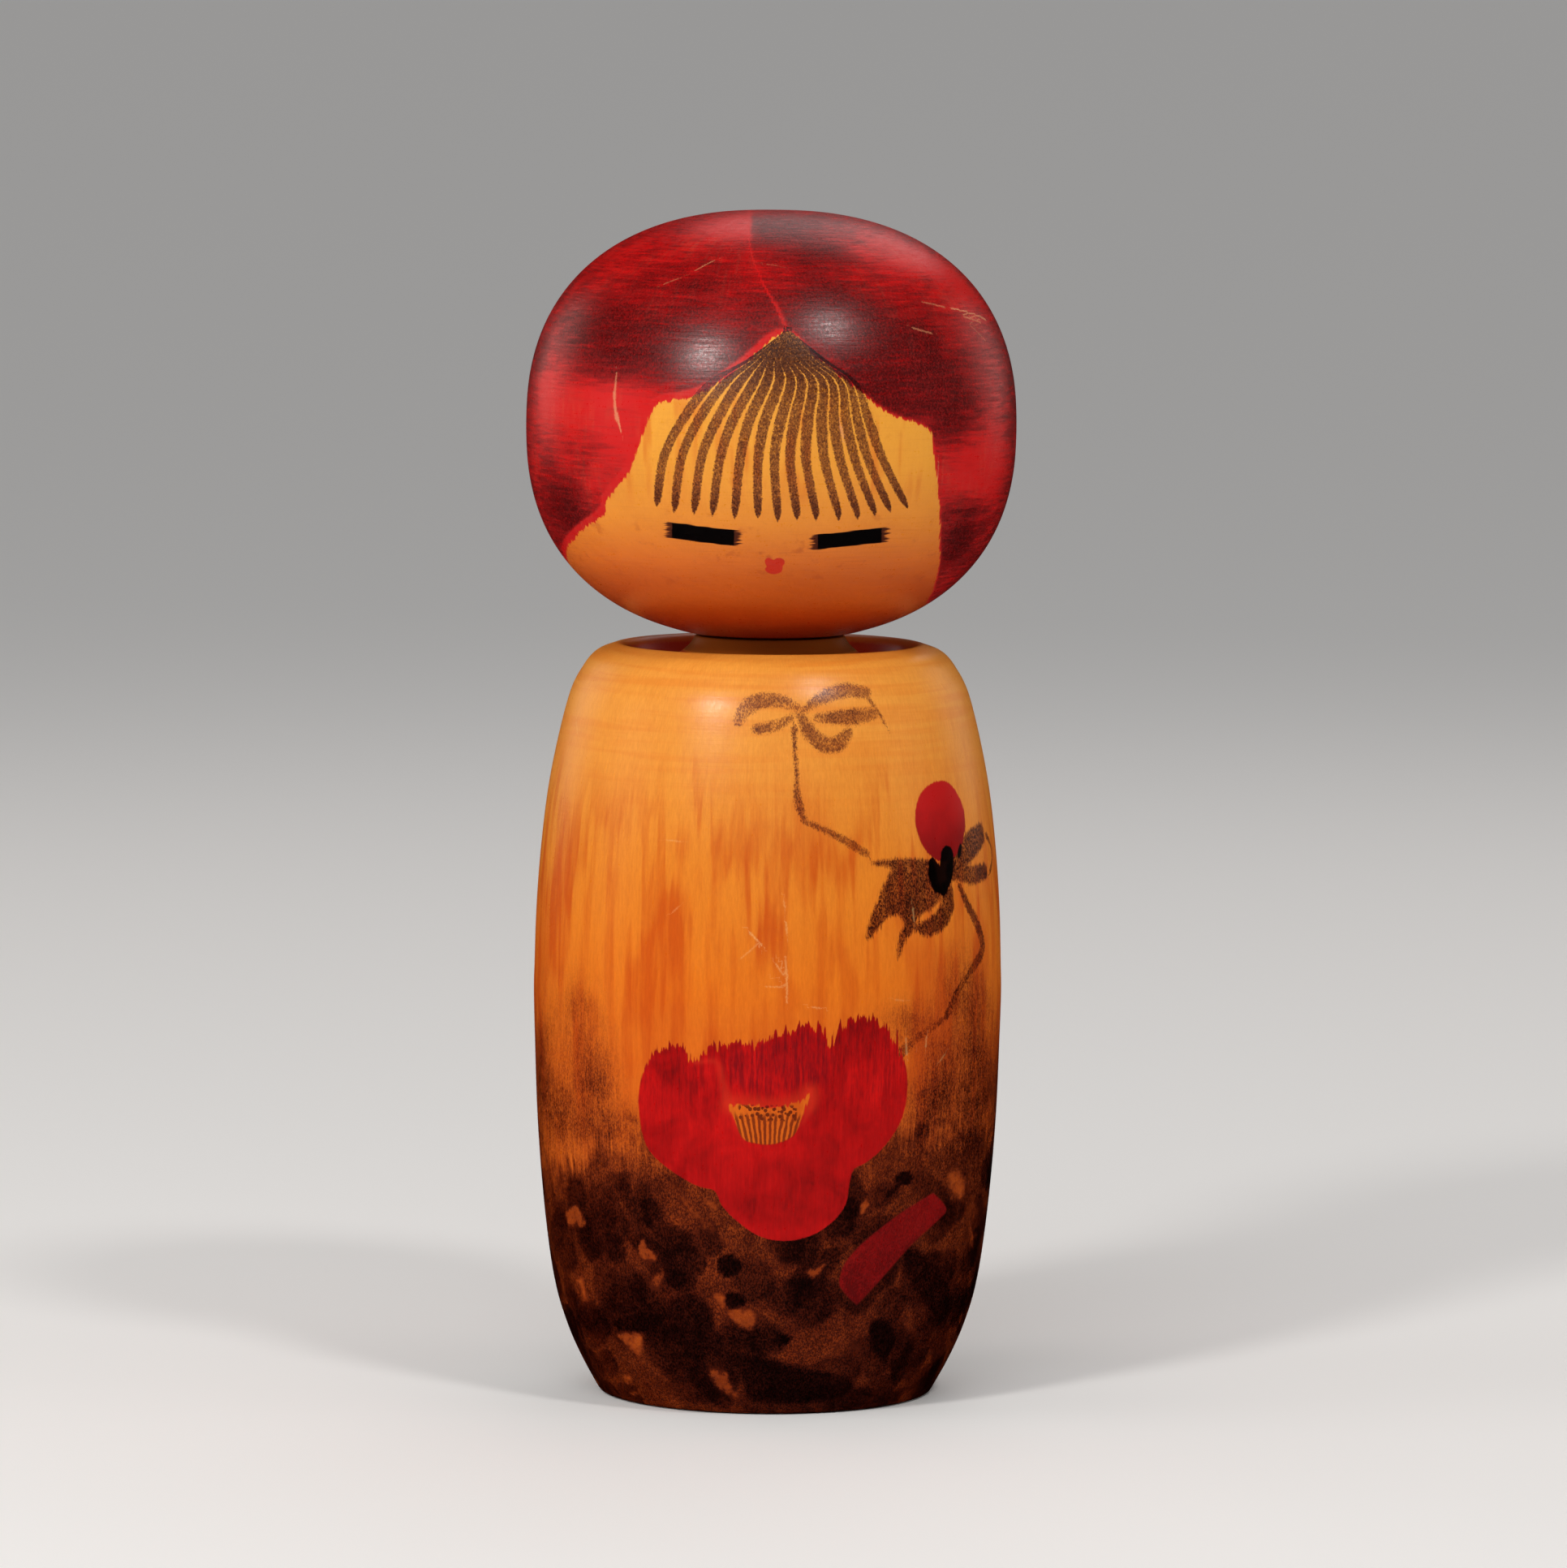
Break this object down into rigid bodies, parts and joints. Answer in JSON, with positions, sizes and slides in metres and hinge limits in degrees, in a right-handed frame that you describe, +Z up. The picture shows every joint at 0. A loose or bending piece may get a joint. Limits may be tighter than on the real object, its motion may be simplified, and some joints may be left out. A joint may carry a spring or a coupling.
{
  "type": "kokeshi doll",
  "caption": "Turned wooden kokeshi doll: a round painted head on a short neck over a rounded painted body with a dished collar. The head turns and lifts off.",
  "frame": {"origin": "centre of the circular foot, in the plane that the doll stands on", "axes": "+Z up along the turning axis, from the foot through the head; the painted face looks along -Y; +X is to the viewer's right"},
  "size_m": [0.1252, 0.1252, 0.303],
  "materials": {
    "body_wood": "honey-stained turned hardwood, painted in red and grey ink, waxed to a soft gloss",
    "head_wood": "turned hardwood, bare and honey-stained at the face, the hair brushed in black over red, waxed to a soft gloss",
    "dowel_wood": "bare turned hardwood, matt"
  },
  "bodies": {
    "base": {"body": "body_wood"},
    "dowel": {"neck_dowel": "dowel_wood"},
    "head": {"head": "head_wood"}
  },
  "joints": [
    {"name": "head_lift", "type": "slide", "parent": "base", "child": "dowel", "axis": [0, 0, 1], "range_m": [0, 0.04]},
    {"name": "head_turn", "type": "hinge", "parent": "dowel", "child": "head", "pos_m": [0, 0, 0.1947], "axis": [0, 0, 1], "continuous": true}
  ]
}
